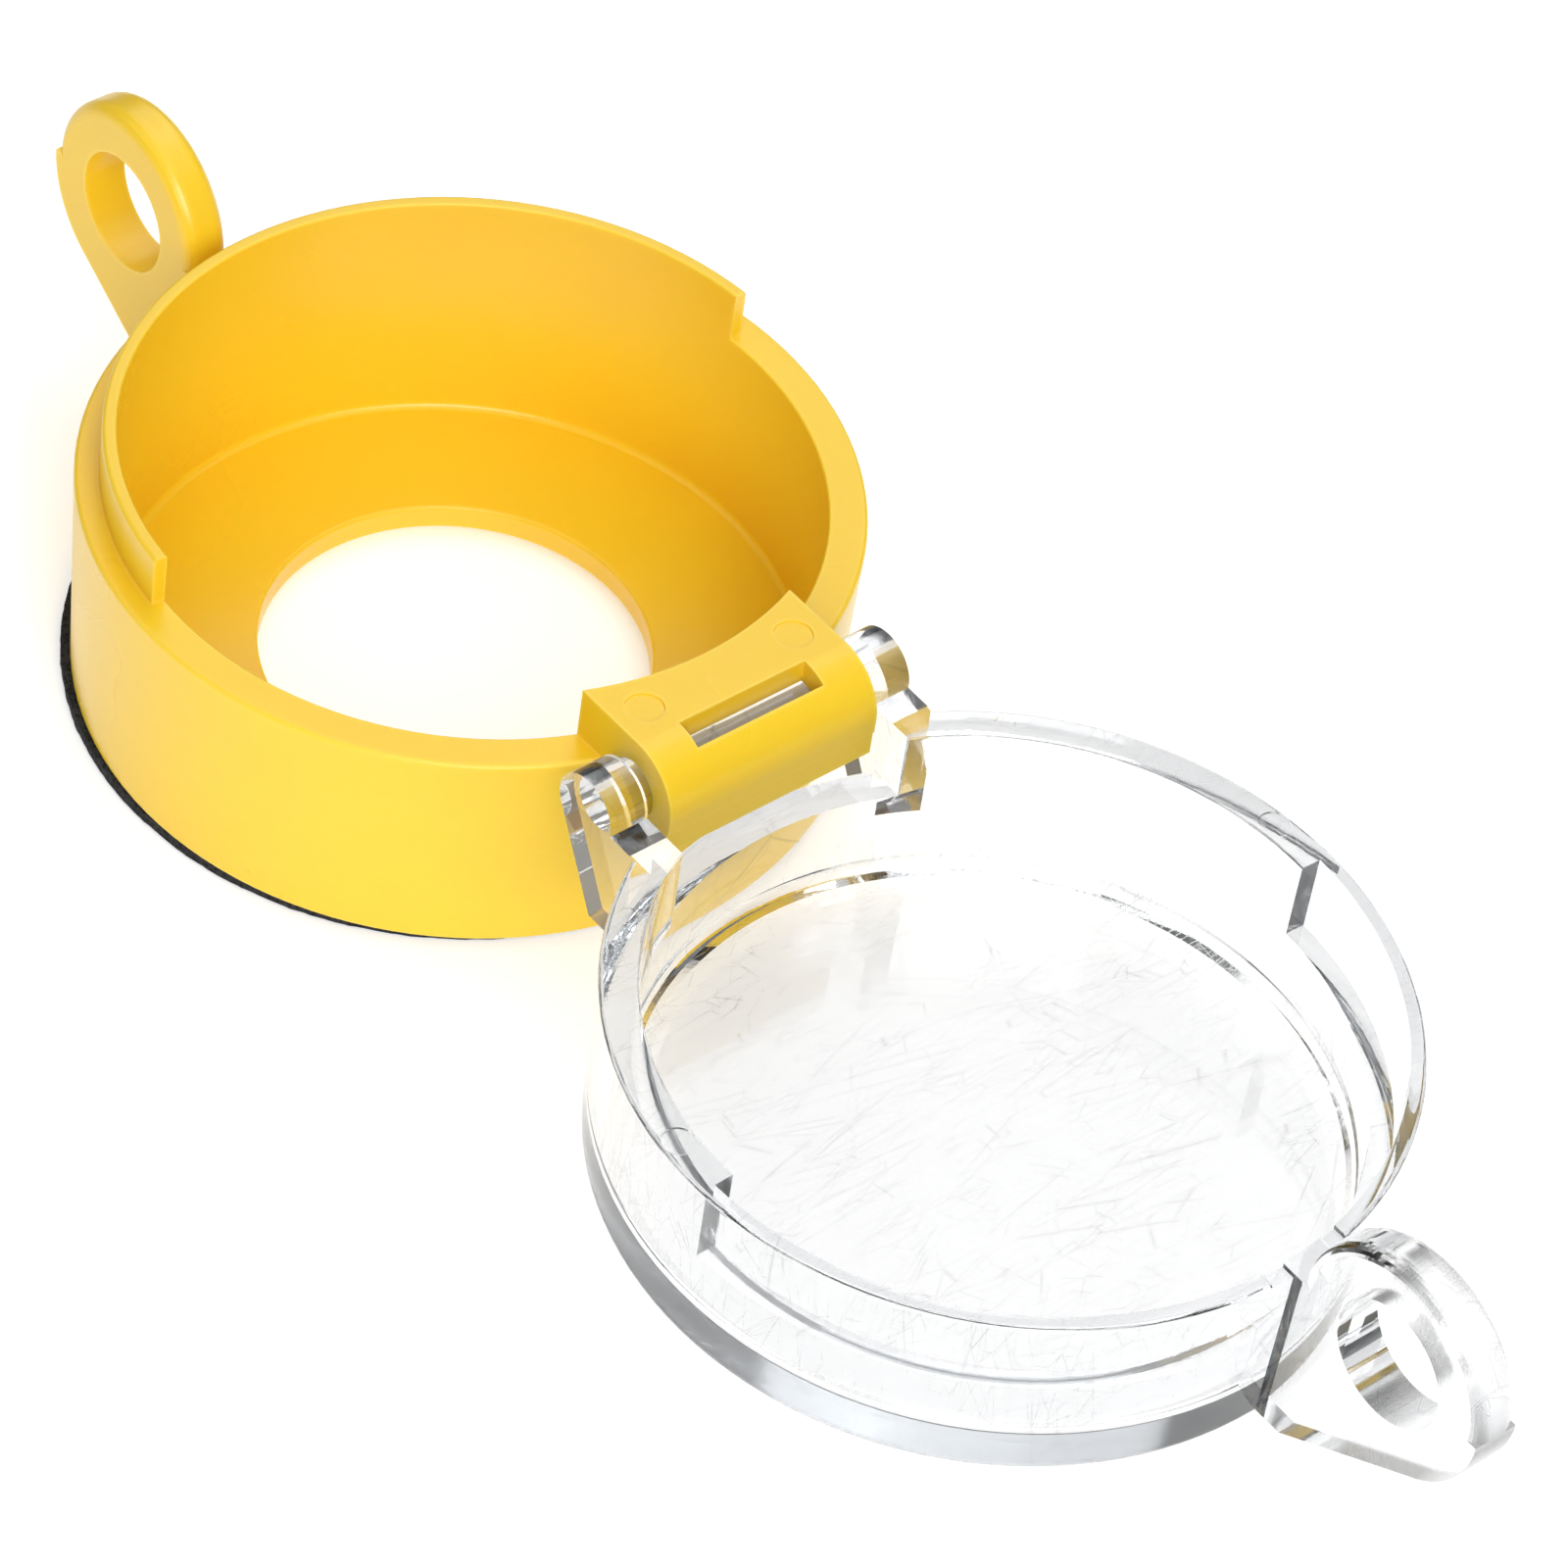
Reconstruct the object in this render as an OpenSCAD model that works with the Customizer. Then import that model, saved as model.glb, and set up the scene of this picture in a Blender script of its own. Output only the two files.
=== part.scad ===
// Hinged lockout cover for a panel push button.
// A base cup sits between the panel and the button, which comes up through its floor.
// A clear lid has a hinge bar that snaps into the base from below. The lid swings over
// the button, and a padlock through the two hasp lugs keeps it shut. A foam gasket
// seals the base to the panel.
//
// Origin: centre of the button hole, on the underside of the base.
// +Z points out of the panel, and +X points from the base to the hinge.
// The lid is drawn swung fully open.

/* [Base cup] */
// Outer radius of the cup at its rim
cup_r = 30; // [29:0.5:33]
// Thickness of the cup wall at the rim
wall_t = 3; // [2.8:0.1:3.4]
// Height of the cup, from its underside to its rim
cup_h = 18.8; // [17:0.2:26]
// Thickness of the cup floor
floor_t = 2; // [1.6:0.1:3]
// Diameter of the button hole
hole_d = 30.5; // [22.5:0.5:32]
// How much smaller the cup's outer radius is at its foot
draft = 0.5; // [0:0.1:0.8]

/* [Locating lip] */
// Height of the lip above the rim
lip_h = 4.4; // [4:0.1:4.6]
// Thickness of the lip
lip_t = 1.1; // [0.9:0.05:1.2]
// Angle that the lip covers, on the side away from the hinge
lip_span = 170; // [120:1:172]

/* [Hinge] */
// Distance from the outside of the cup to the hinge axis
axis_out = 1.7; // [1.6:0.1:2]
// Width of the hinge block along the axis
block_w = 19.5; // [17:0.5:20]
// How far the hinge block hangs below the hinge axis
block_drop = 3.5; // [3:0.1:3.6]
// Width of the slot cored through the top of the hinge block
slot_w = 2.3; // [1.6:0.1:2.4]
// Length of the slot
slot_len = 11.8; // [8:0.2:12]
// Radius of the lid's hinge bar
bar_r = 2.3; // [2:0.05:2.4]
// Radial clearance of the bar in its bore
bar_play = 0.06; // [0.03:0.01:0.09]
// Width of the mouth under the bore, which the bar snaps through
mouth_w = 3.5; // [3:0.1:3.7]
// Radius of the round end of an ear
ear_r = 2.95; // [2.8:0.05:3]
// Thickness of an ear
ear_t = 3.4; // [2.6:0.1:3.6]
// Gap between the end of the block and an ear
ear_gap = 0.95; // [0.8:0.05:1.1]
// How far past flat the open lid swings, in degrees
droop = 0.6; // [0:0.1:1]

/* [Lid] */
// Depth of the lid, from its rim to its outer face
lid_h = 15.8; // [14:0.1:24]
// Thickness of the lid's face
lid_face_t = 1.8; // [1.6:0.1:3]
// Thickness of the lid's wall at the rim
lid_wall_t = 2.9; // [2.6:0.1:3.2]
// Radius of the fillet between the lid's wall and its face
lid_fillet = 2.2; // [1:0.1:4]
// Radius of the rounded outer edge of the lid's face
lid_edge_r = 1; // [0.5:0.1:1.6]
// How much smaller the lid's outer radius is at its face
lid_draft = 0.3; // [0:0.1:0.6]
// Depth of the rebate that takes the lip
rebate_h = 7; // [5.5:0.5:8]
// Gap between the lip and the rebate
rebate_play = 0.4; // [0.3:0.05:0.5]
// Gap between the closed lid's rim and the cup's rim
seat_gap = 0.2; // [0.15:0.05:0.3]

/* [Hasp lugs] */
// Diameter of the shackle hole
shackle_d = 10; // [8:0.5:11]
// Outer radius of a lug
lug_r = 8.9; // [7.5:0.1:9]
// Distance from the cup axis to the shackle hole
lug_reach = 39.3; // [39:0.1:42]
// Thickness of a lug
lug_t = 3.8; // [3:0.1:4.2]
// Gap between the two lugs when the lid is shut
lug_gap = 0.8; // [0.5:0.1:1.2]
// Slope of the web under a lug, in degrees
lug_slope = 32; // [25:1:36]

/* [Gasket] */
// Thickness of the foam
gasket_t = 1; // [0.8:0.1:3]
// Outer radius of the foam
gasket_r = 29.6; // [28:0.1:29.8]
// Inner radius of the foam
gasket_in_r = 17.6; // [17:0.1:22]
// How far off centre the foam is stuck on
gasket_shift = 1.2; // [0:0.1:1.3]

/* [Hidden] */
$fn = 128;

// Number of steps in each rounded corner of an outline
ARC_STEPS = 6;
// How far a shape reaches into its neighbour or past the face that it cuts
LAP = 1;
// Radius of an edge that a hand touches
SOFT_R = 0.35;
// How far a line dips under the arc that it runs out of, so that the two cross cleanly
DIP = 0.02;

cup_in_r = cup_r - wall_t;
cup_foot_r = cup_r - draft;
hole_r = hole_d / 2;
hole_edge_r = 0.3;
floor_fillet = 0.6;
lip_r = cup_in_r + lip_t;

hinge_x = cup_r + axis_out;
hinge_z = cup_h;
barrel_r = lip_h;
block_end_y = block_w / 2;
// The mould seam across the front of the block, and the step that it leaves
block_seam_drop = 1.3;
block_seam_step = 0.12;
// How far the back faces of the slot and of the mouth are behind the hinge axis
slot_back = 0.1;
mouth_back = 1.7;

ear_y = block_end_y + ear_gap;
// The web under an ear: its height, and how far its foot stands in from the hinge axis
ear_web_h = 9.2;
ear_web_x = 1.9;

// How much smaller the lid's rim is than the cup's
lid_inset = 0.3;
lid_r = cup_r - lid_inset;
lid_in_r = lid_r - lid_wall_t;
lid_foot_r = lid_r - lid_draft;
lid_floor_z = lid_face_t - lid_h;
rebate_r = lip_r + rebate_play;
// Angle of the rebate that the lip leaves free, at both ends together
rebate_spare = 5;
rebate_span = lip_span + rebate_spare;
// The notch for the hinge block is deeper than the block by this much
notch_play = 2.7;
notch_depth = block_drop + notch_play;

// Round marks that the ejector pins leave. Those on the block and on the ears are placed
// by their distance behind the hinge axis and from the middle of the hinge.
eject_depth = 0.15;
block_mark_r = 1.5;
block_mark = [2.7, 7];
ear_mark_r = 1.15;
ear_mark = [5.3, ear_y + 1.4];
rim_mark_r = 1.25;
rim_mark_angle = 96.7;
small_mark_r = 0.8;
small_mark_angle = 141;

// The lugs meet a little to one side of the cup's middle
lug_mid_y = -0.2;
lug_edge_r = 1.1;
base_lug_y = lug_mid_y - lug_gap / 2 - lug_t / 2;
lid_lug_y = lug_mid_y + lug_gap / 2 + lug_t / 2;
// How far the foot of the lid's lug stays above the lid's face
lug_foot_rise = 0.7;
// A shallow relief in the lid's rim beside its lug
relief_depth = 0.4;
relief_y = [-1.75, 5.6];

function unit(v) = v / norm(v);

// The corner b between a and c, as an arc of radius r
function corner_arc(a, b, c, r) =
    let (
        u = unit(a - b),
        v = unit(c - b),
        half = acos(u * v) / 2,
        mid = b + unit(u + v) * r / sin(half),
        p = b + u * r / tan(half) - mid,
        q = b + v * r / tan(half) - mid,
        from = atan2(p.y, p.x),
        swing = atan2(q.y, q.x) - from,
        turn = swing > 180 ? swing - 360 : swing < -180 ? swing + 360 : swing
    )
    [for (i = [0 : ARC_STEPS]) let (t = from + turn * i / ARC_STEPS) mid + r * [cos(t), sin(t)]];

// An outline given as [x, y, corner radius], with its corners rounded
function rounded(path) =
    let (n = len(path), at = [for (p = path) [p.x, p.y]])
    [for (i = [0 : n - 1])
        each path[i].z > 0
            ? corner_arc(at[(i + n - 1) % n], at[i], at[(i + 1) % n], path[i].z)
            : [at[i]]];

// The point where a line from p touches a circle of radius r round the origin, on its left
function tangent_point(p, r) =
    let (t = atan2(p.y, p.x) - acos(r / norm(p)))
    r * [cos(t), sin(t)];

// A flat shape drawn in X and Z, t thick along Y and centred on it
module plate(t) {
    rotate([90, 0, 0])
        linear_extrude(t, center = true)
            children();
}

// A cylinder along Y from y0 to y1, at [x, z]
module rod(x, z, r, y0, y1) {
    translate([x, y0, z])
        rotate([-90, 0, 0])
            cylinder(h = y1 - y0, r = r);
}

// A shallow round mark sunk into a face that looks up
module eject_mark(r) {
    translate([0, 0, -eject_depth])
        cylinder(h = eject_depth + LAP, r = r);
}

// A hasp lug. The shackle hole is at the origin and +X points away from the cup.
// Above the hole's middle it is a rounded ring, and below it a web runs down to the wall.
// The web reaches in to root_r from the cup's axis, and no lower than foot_z.
module lug(root_r, foot_z) {
    touch = (lug_r - DIP) * [sin(lug_slope), -cos(lug_slope)];
    root_x = root_r - lug_reach;
    root_z = touch.y - (touch.x - root_x) * tan(lug_slope);
    difference() {
        union() {
            rotate([90, 0, 0])
                rotate_extrude(angle = 180)
                    polygon(rounded([
                        [0, -lug_t / 2, 0],
                        [lug_r, -lug_t / 2, lug_edge_r],
                        [lug_r, lug_t / 2, lug_edge_r],
                        [0, lug_t / 2, 0]
                    ]));
            plate(lug_t)
                intersection() {
                    union() {
                        circle(r = lug_r);
                        polygon([[0, 0], touch, [root_x, root_z], [root_x, 0]]);
                    }
                    translate([root_x, foot_z])
                        square([lug_r - root_x, -foot_z]);
                }
        }
        rod(0, 0, shackle_d / 2, -lug_t, lug_t);
    }
}

module cup() {
    rotate_extrude()
        polygon(rounded([
            [hole_r, 0, 0],
            [cup_foot_r, 0, SOFT_R],
            [cup_r, cup_h, SOFT_R],
            [cup_in_r, cup_h, SOFT_R / 2],
            [cup_in_r, floor_t, floor_fillet],
            [hole_r, floor_t, hole_edge_r]
        ]));
}

// The lip that the lid's rebate drops over
module lip() {
    rotate([0, 0, 180 - lip_span / 2])
        rotate_extrude(angle = lip_span)
            polygon(rounded([
                [cup_in_r, cup_h - LAP, 0],
                [lip_r, cup_h - LAP, 0],
                [lip_r, cup_h + lip_h, SOFT_R],
                [cup_in_r, cup_h + lip_h, SOFT_R / 2]
            ]));
}

// The hinge block: a flat top that ends in a quarter round about the hinge axis,
// a straight front down to the mould seam, and a slightly smaller foot below it.
// The bore for the bar runs through it, with the slot above and the mouth below.
module hinge_block() {
    front_x = hinge_x + barrel_r;
    foot_x = front_x - block_seam_step;
    foot_z = hinge_z - block_drop;
    seam_z = hinge_z - block_seam_drop;
    difference() {
        plate(block_w)
            union() {
                intersection() {
                    translate([hinge_x, hinge_z])
                        circle(r = barrel_r);
                    translate([hinge_x, hinge_z])
                        square(barrel_r);
                }
                polygon([
                    [0, foot_z],
                    [foot_x, foot_z],
                    [foot_x, seam_z],
                    [front_x, seam_z],
                    [front_x, hinge_z],
                    [hinge_x, hinge_z],
                    [hinge_x, hinge_z + barrel_r],
                    [0, hinge_z + barrel_r]
                ]);
            }
        cylinder(h = 2 * cup_h, r = cup_in_r);
        translate([hinge_x - slot_back, -slot_len / 2, hinge_z])
            cube([slot_w, slot_len, barrel_r + LAP]);
        translate([hinge_x - mouth_back, -block_w, 0])
            cube([mouth_w, 2 * block_w, hinge_z]);
        for (side = [-1, 1])
            translate([hinge_x - block_mark.x, side * block_mark.y, hinge_z + barrel_r])
                eject_mark(block_mark_r);
    }
}

module base() {
    color("gold")
        difference() {
            union() {
                cup();
                lip();
                hinge_block();
                translate([-lug_reach, base_lug_y, cup_h])
                    rotate([0, 0, 180])
                        lug(cup_r - LAP, -cup_h);
            }
            rod(hinge_x, hinge_z, bar_r + bar_play, -block_end_y - LAP, block_end_y + LAP);
        }
}

// The lid's cup in its own frame: the axis of the cup is Z, and the rim is at Z = 0
module lid_cup() {
    difference() {
        rotate_extrude()
            polygon(rounded([
                [0, -lid_h, 0],
                [lid_foot_r, -lid_h, lid_edge_r],
                [lid_r, 0, SOFT_R],
                [lid_in_r, 0, SOFT_R / 2],
                [lid_in_r, lid_floor_z, lid_fillet],
                [0, lid_floor_z, 0]
            ]));
        translate([rebate_r - LAP, relief_y[0], -relief_depth])
            cube([lid_r - rebate_r + 2 * LAP, relief_y[1] - relief_y[0], relief_depth + LAP]);
    }
}

// The cup and its lug, less the rebate, the notch for the hinge block and the marks
module lid_shell() {
    difference() {
        union() {
            lid_cup();
            translate([lug_reach, lid_lug_y, 0])
                lug(lid_foot_r - lid_edge_r - LAP / 2, lug_foot_rise - lid_h);
        }
        rotate([0, 0, -rebate_span / 2])
            rotate_extrude(angle = rebate_span)
                translate([lid_in_r - LAP, -rebate_h])
                    square([rebate_r - lid_in_r + LAP, rebate_h + LAP]);
        translate([-lid_r - LAP, -ear_y, seat_gap - notch_depth])
            cube([lid_r + LAP, 2 * ear_y, notch_depth + LAP]);
        for (side = [-1, 1]) {
            rotate([0, 0, side * rim_mark_angle])
                translate([(lid_r + lid_in_r) / 2, 0, 0])
                    eject_mark(rim_mark_r);
            rotate([0, 0, side * small_mark_angle])
                translate([(lid_r + lid_in_r) / 2, 0, 0])
                    eject_mark(small_mark_r);
        }
    }
}

// One ear in the lid's frame. side is -1 or 1.
module ear(side) {
    corner = [ear_web_x, -ear_web_h - seat_gap];
    touch = tangent_point(corner, ear_r);
    mirror([0, side < 0 ? 1 : 0, 0])
        difference() {
            translate([-hinge_x, ear_y + ear_t / 2, seat_gap])
                plate(ear_t)
                    union() {
                        circle(r = ear_r);
                        polygon([
                            [0, 0],
                            touch,
                            corner,
                            [hinge_x, corner.y],
                            [hinge_x, -seat_gap],
                            [0, -seat_gap]
                        ]);
                    }
            translate([0, 0, -lid_h])
                cylinder(h = 2 * lid_h, r = lid_r - LAP);
            translate([-ear_mark.x, ear_mark.y, 0])
                eject_mark(ear_mark_r);
        }
}

module lid() {
    color("lightcyan", 0.4)
        translate([hinge_x, 0, hinge_z])
            rotate([0, droop, 0])
                translate([hinge_x, 0, -seat_gap]) {
                    lid_shell();
                    ear(-1);
                    ear(1);
                    rod(-hinge_x, seat_gap, bar_r, -ear_y - LAP, ear_y + LAP);
                }
}

module gasket() {
    color("dimgray")
        translate([-gasket_shift, 0, -gasket_t])
            rotate_extrude()
                translate([gasket_in_r, 0])
                    square([gasket_r - gasket_in_r, gasket_t]);
}

base();
lid();
gasket();
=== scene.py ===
"""The looks, camera, light and floor of the push button lockout cover."""
import math

import bmesh
import bpy
from mathutils import Matrix, Vector, noise


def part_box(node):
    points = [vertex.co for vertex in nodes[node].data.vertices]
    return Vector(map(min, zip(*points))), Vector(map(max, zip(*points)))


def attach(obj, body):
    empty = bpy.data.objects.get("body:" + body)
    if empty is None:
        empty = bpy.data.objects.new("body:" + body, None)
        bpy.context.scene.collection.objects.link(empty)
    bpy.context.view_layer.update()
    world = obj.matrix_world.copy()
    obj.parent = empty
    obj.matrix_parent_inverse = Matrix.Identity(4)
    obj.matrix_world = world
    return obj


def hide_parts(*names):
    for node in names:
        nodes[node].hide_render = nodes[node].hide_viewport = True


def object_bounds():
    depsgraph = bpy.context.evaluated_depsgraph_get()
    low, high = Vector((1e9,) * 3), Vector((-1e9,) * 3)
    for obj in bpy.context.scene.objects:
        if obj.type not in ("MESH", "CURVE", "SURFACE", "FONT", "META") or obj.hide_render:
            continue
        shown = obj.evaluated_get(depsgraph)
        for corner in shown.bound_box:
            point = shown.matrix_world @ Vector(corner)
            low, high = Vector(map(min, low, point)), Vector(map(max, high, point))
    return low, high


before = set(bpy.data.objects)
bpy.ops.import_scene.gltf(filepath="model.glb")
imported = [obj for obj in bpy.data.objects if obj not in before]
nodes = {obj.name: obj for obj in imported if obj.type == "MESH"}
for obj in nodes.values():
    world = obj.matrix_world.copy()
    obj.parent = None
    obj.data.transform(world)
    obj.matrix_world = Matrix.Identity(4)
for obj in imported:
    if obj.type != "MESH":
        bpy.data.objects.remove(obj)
scene = bpy.context.scene
MM = 0.001


def bounds_list():
    lo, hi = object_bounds()
    return [list(lo), list(hi)]


cad_box = bounds_list()


# ---------------------------------------------------------------- camera
def add_camera():
    """The camera of the reference view, as azimuth, elevation, roll and distance round a target."""
    az, el, roll = math.radians(44.32), math.radians(44.86), math.radians(9.11)
    target, distance = Vector((29.83, 7.64, 7.85)) * MM, 528.1 * MM
    back = Vector((math.sin(az) * math.cos(el), -math.cos(az) * math.cos(el), math.sin(el)))
    right = Vector((math.cos(az), math.sin(az), 0))
    up = back.cross(right)
    x = right * math.cos(roll) + up * math.sin(roll)
    y = up * math.cos(roll) - right * math.sin(roll)
    turn = Matrix((x, y, back)).transposed().to_4x4()
    data = bpy.data.cameras.new("camera")
    data.sensor_width, data.lens = 36, 161.9
    data.clip_start, data.clip_end = 0.01, 50
    cam = bpy.data.objects.new("camera", data)
    cam.matrix_world = Matrix.Translation(target + back * distance) @ turn
    scene.collection.objects.link(cam)
    scene.camera = cam


# ---------------------------------------------------------------- node helpers
class Graph:
    """A short way to build a material's nodes. Its texture coordinates are in metres."""

    def __init__(self, name):
        self.mat = bpy.data.materials.new(name)
        self.mat.use_nodes = True
        self.tree = self.mat.node_tree
        self.bsdf = self.tree.nodes["Principled BSDF"]
        self.coord = self.tree.nodes.new("ShaderNodeTexCoord").outputs["Object"]

    def node(self, kind, inputs=None, **props):
        n = self.tree.nodes.new("ShaderNode" + kind)
        for key, value in props.items():
            setattr(n, key, value)
        for key, value in (inputs or {}).items():
            self.put(n.inputs[key], value)
        return n

    def put(self, socket, value):
        if isinstance(value, bpy.types.NodeSocket):
            self.tree.links.new(value, socket)
        else:
            socket.default_value = value

    def set_bsdf(self, **values):
        for name, value in values.items():
            self.put(self.bsdf.inputs[name.replace("_", " ")], value)

    def along(self, axis):
        """The coordinate along axis 0, 1 or 2."""
        return self.node("SeparateXYZ", {0: self.coord}).outputs[axis]

    def noise(self, scale, detail, rough):
        inputs = {"Vector": self.coord, "Scale": scale, "Detail": detail, "Roughness": rough}
        return self.node("TexNoise", inputs).outputs["Fac"]

    def math(self, op, a, b):
        return self.node("Math", {0: a, 1: b}, operation=op).outputs[0]

    def ramp(self, fac, lo, hi, a=0.0, b=1.0):
        """fac from lo..hi to a..b, clamped."""
        inputs = {"Value": fac, "From Min": lo, "From Max": hi, "To Min": a, "To Max": b}
        return self.node("MapRange", inputs).outputs[0]

    def mix(self, fac, a, b):
        n = self.node("Mix", data_type="RGBA")
        for s, v in ((n.inputs[0], fac), (n.inputs[6], a), (n.inputs[7], b)):
            self.put(s, v)
        return n.outputs[2]

    def bump(self, height, distance, strength, normal=None):
        n = self.node("Bump", {"Height": height, "Distance": distance, "Strength": strength})
        if normal:
            self.put(n.inputs["Normal"], normal)
        return n.outputs[0]

    def edge(self, width):
        """0 on open faces and 1 at edges, also at concave ones, where a bevel would turn the normal."""
        bevel = self.node("Bevel", {"Radius": width}, samples=4).outputs[0]
        normal = self.node("NewGeometry").outputs["Normal"]
        dot = self.node("VectorMath", {0: bevel, 1: normal}, operation="DOT_PRODUCT")
        return self.ramp(dot.outputs["Value"], 1.0, 0.9)

    def scratches(self, density, angle, stretch, width, seed):
        """Fine hairlines, slightly bent, all roughly along one direction."""
        bend = 1.6 * MM
        wobble = self.node("TexNoise", {"Vector": self.coord, "Scale": 30.0, "Detail": 1.0})
        inputs = {0: wobble.outputs["Color"], 1: (bend, bend, bend)}
        push = self.node("VectorMath", inputs, operation="MULTIPLY")
        at = self.node("VectorMath", {0: self.coord, 1: push.outputs[0]}, operation="ADD")
        turned = self.node("Mapping", {
            "Vector": at.outputs[0],
            "Location": (seed, seed * 0.7, 0),
            "Rotation": (0, 0, math.radians(angle)),
            "Scale": (1.0, stretch, stretch)})
        inputs = {"Vector": turned.outputs[0], "Scale": density, "Randomness": 1.0}
        cells = self.node("TexVoronoi", inputs,
                          feature="DISTANCE_TO_EDGE", voronoi_dimensions="3D")
        return self.ramp(cells.outputs["Distance"], 0.0, width, 1.0, 0.0)


# ---------------------------------------------------------------- materials
def yellow_plastic():
    """Glossy moulded plastic, a little lighter on its edges, partly as wear and partly as a painted
    highlight of the rounded edges, and with a few dark specks.
    """
    deep, light = (0.81, 0.525, 0.014, 1), (0.88, 0.595, 0.024, 1)
    worn_highlight_tint, speck_tint = (0.96, 0.70, 0.12, 1), (0.72, 0.40, 0.02, 1)
    wear_highlight_from, wear_highlight_full = 4 * MM, 7 * MM  # heights where the lighter edges (wear and painted highlight) begin and are full; they spare the cup's inner floor corner
    g = Graph("yellow_plastic_look")
    broad = g.noise(45.0, 3, 0.5)
    fine = g.noise(700.0, 4, 0.6)
    flow = g.noise(60.0, 2, 0.5)
    height = g.along(2)
    edge = g.math("MULTIPLY", g.edge(0.5 * MM), g.ramp(height, wear_highlight_from, wear_highlight_full))
    base = g.mix(g.ramp(broad, 0.1, 0.9), deep, light)
    # painted highlight: the edges are made lighter partly as wear and partly to stand for the bright
    # rim of their rounded corners
    worn_and_highlit = g.mix(g.math("MULTIPLY", edge, 0.5), base, worn_highlight_tint)
    speck = g.ramp(g.noise(2600.0, 2, 0.5), 0.70, 0.76, 0.0, 0.16)
    colour = g.mix(speck, worn_and_highlit, speck_tint)
    rough = g.math("ADD", g.ramp(flow, 0.0, 1.0, 0.19, 0.40), g.math("MULTIPLY", edge, 0.08))
    skin = g.bump(fine, 0.01 * MM, 0.6)
    g.set_bsdf(Base_Color=colour, Roughness=rough, Normal=skin, IOR=1.53)
    g.set_bsdf(Subsurface_Weight=0.22, Subsurface_Radius=(1.0, 0.45, 0.06), Subsurface_Scale=1.6 * MM)
    return g.mat


def clear_plastic():
    """Clear moulded plastic with hairline scratches in patches, and a frosted hasp lug."""
    clean, scratched = (0.975, 0.978, 0.98, 1), (0.66, 0.66, 0.67, 1)
    frost_length, frost_fade = 12 * MM, 2 * MM
    g = Graph("clear_plastic_look")
    hair = g.scratches(540.0, 25, 0.12, 0.012, 3.1)
    cross = g.scratches(460.0, -48, 0.12, 0.012, 11.7)
    fuzz = g.scratches(640.0, 80, 0.30, 0.012, 7.9)
    both = g.math("MAXIMUM", g.math("MAXIMUM", hair, cross), fuzz)
    patch = g.ramp(g.noise(160.0, 3, 0.6), 0.36, 0.58)
    cut = g.math("MULTIPLY", both, patch)
    smear = g.ramp(g.noise(35.0, 4, 0.6), 0.4, 0.75, 0.004, 0.02)
    frost_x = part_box("lid")[1].x - frost_length
    frost = g.ramp(g.along(0), frost_x, frost_x + frost_fade, 0.0, 0.24)
    rough = g.math("ADD", g.math("ADD", smear, frost), g.math("MULTIPLY", cut, 0.06))
    waves = g.bump(g.noise(55.0, 2, 0.5), 0.3 * MM, 0.05)
    nicks = g.bump(cut, -0.003 * MM, 0.3, waves)
    tint = g.mix(cut, clean, scratched)
    g.set_bsdf(Base_Color=tint, Roughness=rough, Normal=nicks, IOR=1.54, Transmission_Weight=1.0)
    grey = g.node("VolumeAbsorption", {"Color": (0.90, 0.905, 0.91, 1), "Density": 120.0})
    g.put(g.tree.nodes["Material Output"].inputs["Volume"], grey.outputs[0])
    return g.mat


def black_foam():
    """Matt black foam with open pores."""
    dark, pale = (0.010, 0.010, 0.011, 1), (0.055, 0.055, 0.058, 1)
    g = Graph("black_foam_look")
    cells = g.node("TexVoronoi", {"Vector": g.coord, "Scale": 2600.0, "Randomness": 1.0})
    pores = g.ramp(cells.outputs["Distance"], 0.1, 0.6)
    lumps = g.noise(500.0, 4, 0.6)
    colour = g.mix(g.math("MULTIPLY", pores, lumps), dark, pale)
    pitted = g.bump(pores, 0.18 * MM, 0.8)
    uneven = g.bump(lumps, 0.3 * MM, 0.7, pitted)
    g.set_bsdf(Base_Color=colour, Roughness=0.95, Normal=uneven, Specular_IOR_Level=0.2)
    return g.mat


def dress(obj, mat):
    for s in obj.material_slots:
        s.material = mat


# ---------------------------------------------------------------- gasket
def ring_section(outer, inner, rows, across):
    """Points (radius, share of the height) once round the section of a ring."""
    section = [(outer, i / rows) for i in range(rows + 1)]
    section += [(outer + (inner - outer) * i / across, 1.0) for i in range(1, across)]
    section += [(inner, 1 - i / rows) for i in range(rows + 1)]
    section += [(inner + (outer - inner) * i / across, 0.0) for i in range(1, across)]
    return section


def roughen(p, r, share, outer, inner):
    """How the cut foam at p leaves the plain ring, as a new radius and a rise. It stays inside it."""
    ragged = 0.6 * MM  # how far in from a cut edge the foam is uneven
    lift, dimple, gap = 0.06, 0.05, 0.004 * MM
    edge = max(1 - abs(r - outer) / ragged, 1 - abs(r - inner) / ragged, 0)
    n = noise.noise(p * 700) * 0.6 + noise.noise(p * 1700 + Vector((5, 1, 9))) * 0.4
    pull = min(edge * (0.14 * n - 0.06), 0) * MM
    dz = noise.noise(p * 900 + Vector((3, 7, 1))) * dimple * MM
    squeeze = edge * lift * MM
    new_r = r + (pull if r > (outer + inner) / 2 else -pull)
    if share < 0.5:  # the lower half, lifted at its edges and dimpled all over
        return new_r, squeeze * (1 - 2 * share) + abs(dz) * (1 - 2 * share)
    return new_r, -gap


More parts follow.
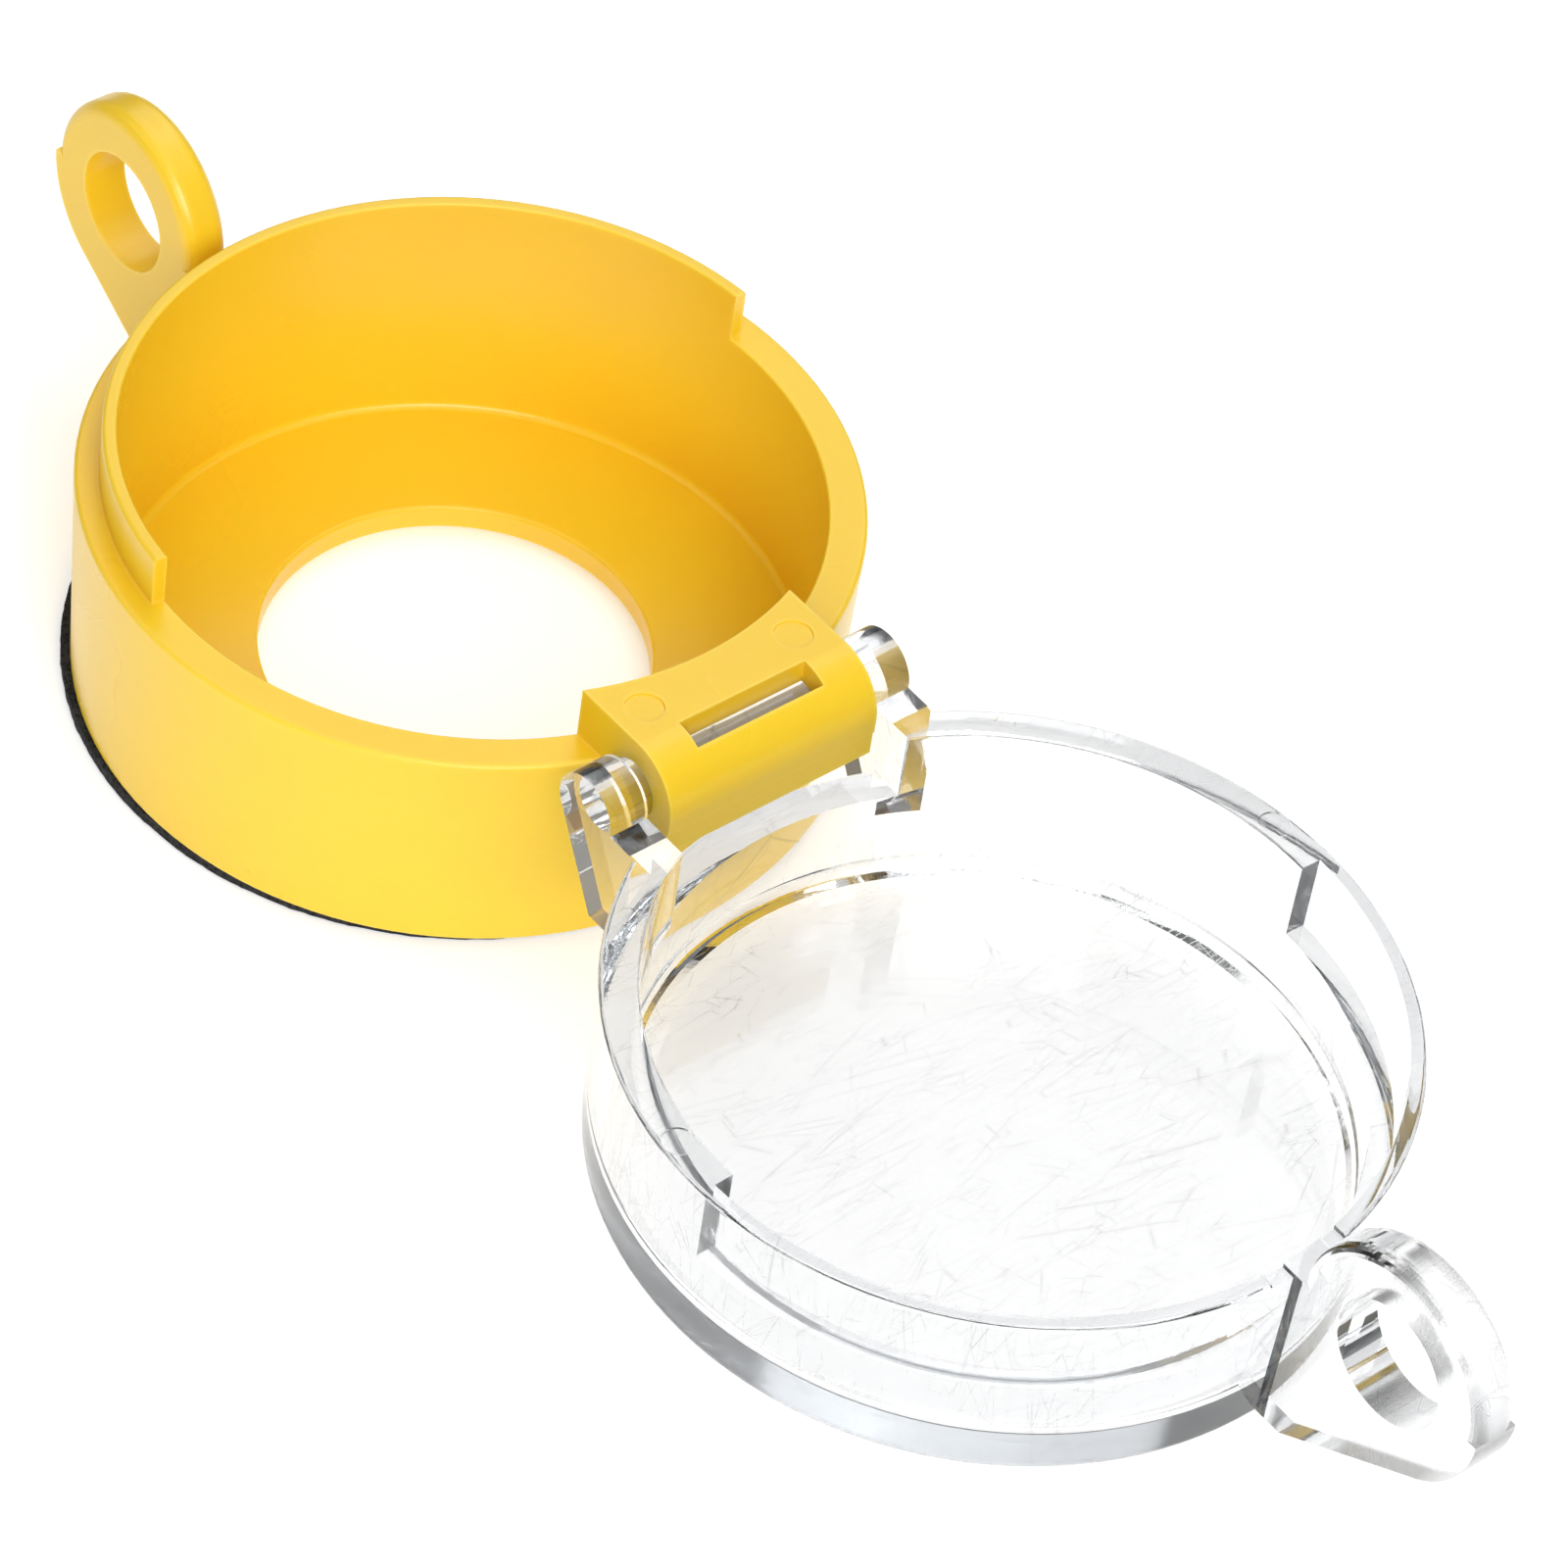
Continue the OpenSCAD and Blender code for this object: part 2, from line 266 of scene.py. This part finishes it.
def add_gasket(mat):
    """The foam ring, with slightly ragged cut edges, where the CAD ring is."""
    lo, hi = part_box("gasket")
    cx, cy = (lo.x + hi.x) / 2, (lo.y + hi.y) / 2
    outer, thick = (hi.x - lo.x) / 2, hi.z - lo.z
    inner = 17.6 * MM
    steps, rows, across = 360, 10, 40
    section = ring_section(outer, inner, rows, across)
    bm = bmesh.new()
    rings = []
    for k in range(steps):
        a = 2 * math.pi * k / steps
        ring = []
        for r, share in section:
            p = Vector((r * math.cos(a), r * math.sin(a), share * thick))
            new_r, rise = roughen(p, r, share, outer, inner)
            z = lo.z + share * thick + rise
            ring.append(bm.verts.new((cx + new_r * math.cos(a), cy + new_r * math.sin(a), z)))
        rings.append(ring)
    count = len(section)
    for k in range(steps):
        a, b = rings[k], rings[(k + 1) % steps]
        for i in range(count):
            j = (i + 1) % count
            bm.faces.new((a[i], b[i], b[j], a[j]))
    bmesh.ops.recalc_face_normals(bm, faces=bm.faces)
    for f in bm.faces:
        f.smooth = True
    mesh = bpy.data.meshes.new("foam_gasket")
    bm.to_mesh(mesh)
    bm.free()
    obj = bpy.data.objects.new("foam_gasket", mesh)
    scene.collection.objects.link(obj)
    mesh.materials.append(mat)
    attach(obj, "base_body")
    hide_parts("gasket")


# ---------------------------------------------------------------- stage and light
def table_paint():
    """A pale table, lit from below in the middle by its own glow, and painted greyer far away as
    painted shade.
    """
    near_tint, far_shade_tint = (0.90, 0.90, 0.90, 1), (0.42, 0.42, 0.42, 1)
    g = Graph("floor_paint")
    away = g.node("VectorMath", {0: g.coord}, operation="LENGTH").outputs["Value"]
    # painted shade: the table's colour greys with distance, standing for light that falls off away from
    # the middle
    far = g.ramp(away, 0.14, 0.50)
    colour = g.mix(far, near_tint, far_shade_tint)
    glow = g.ramp(away, 0.13, 0.30, 0.35, 0.0)
    g.set_bsdf(Base_Color=colour, Roughness=0.8, Emission_Color=(1, 1, 1, 1), Emission_Strength=glow)
    return g.mat


def add_floor():
    z = cad_box[0][2] - 0.2 * MM
    bpy.ops.mesh.primitive_plane_add(size=6, location=(0.03, 0, z))
    floor = bpy.context.object
    floor.name = "floor"
    floor.data.materials.append(table_paint())


def add_area(name, at, aim, side, watts):
    """A square soft box at one place, facing another."""
    data = bpy.data.lights.new(name, "AREA")
    data.shape = "SQUARE"
    data.size = side
    data.energy = watts
    obj = bpy.data.objects.new(name, data)
    obj.location = at
    obj.rotation_mode = "QUATERNION"
    obj.rotation_quaternion = (Vector(aim) - Vector(at)).to_track_quat("-Z", "Y")
    scene.collection.objects.link(obj)


def add_lights():
    world = bpy.data.worlds.new("studio")
    world.use_nodes = True
    background = world.node_tree.nodes["Background"]
    background.inputs["Color"].default_value = (1, 1, 1, 1)
    background.inputs["Strength"].default_value = 0.22
    scene.world = world
    middle = (0.03, 0, 0.01)
    add_area("key", (-0.45, -0.55, 0.70), middle, 0.6, 0.7)
    add_area("top", (0.05, 0.15, 0.95), middle, 0.9, 2.7)
    add_area("back", (-0.45, 0.50, 0.70), middle, 0.7, 2.2)
    add_area("fill", (0.75, -0.15, 0.50), middle, 0.6, 2.6)
    add_area("front", (0.60, -0.45, 0.55), middle, 0.6, 5.0)


def set_light_paths():
    """Many bounces for the clear lid's faces, and its light let straight through.

    The lid casts no shadow, so caustics are off, or light through it would count twice."""
    bounces = 28
    nodes["lid"].visible_shadow = False
    scene.cycles.max_bounces = bounces
    scene.cycles.transmission_bounces = bounces
    scene.cycles.glossy_bounces = bounces
    scene.cycles.caustics_refractive = False
    scene.cycles.caustics_reflective = False


add_camera()
dress(nodes["base"], yellow_plastic())
dress(nodes["lid"], clear_plastic())
foam = black_foam()
dress(nodes["gasket"], foam)
add_gasket(foam)
add_floor()
add_lights()
set_light_paths()
scene.view_settings.view_transform = "Standard"
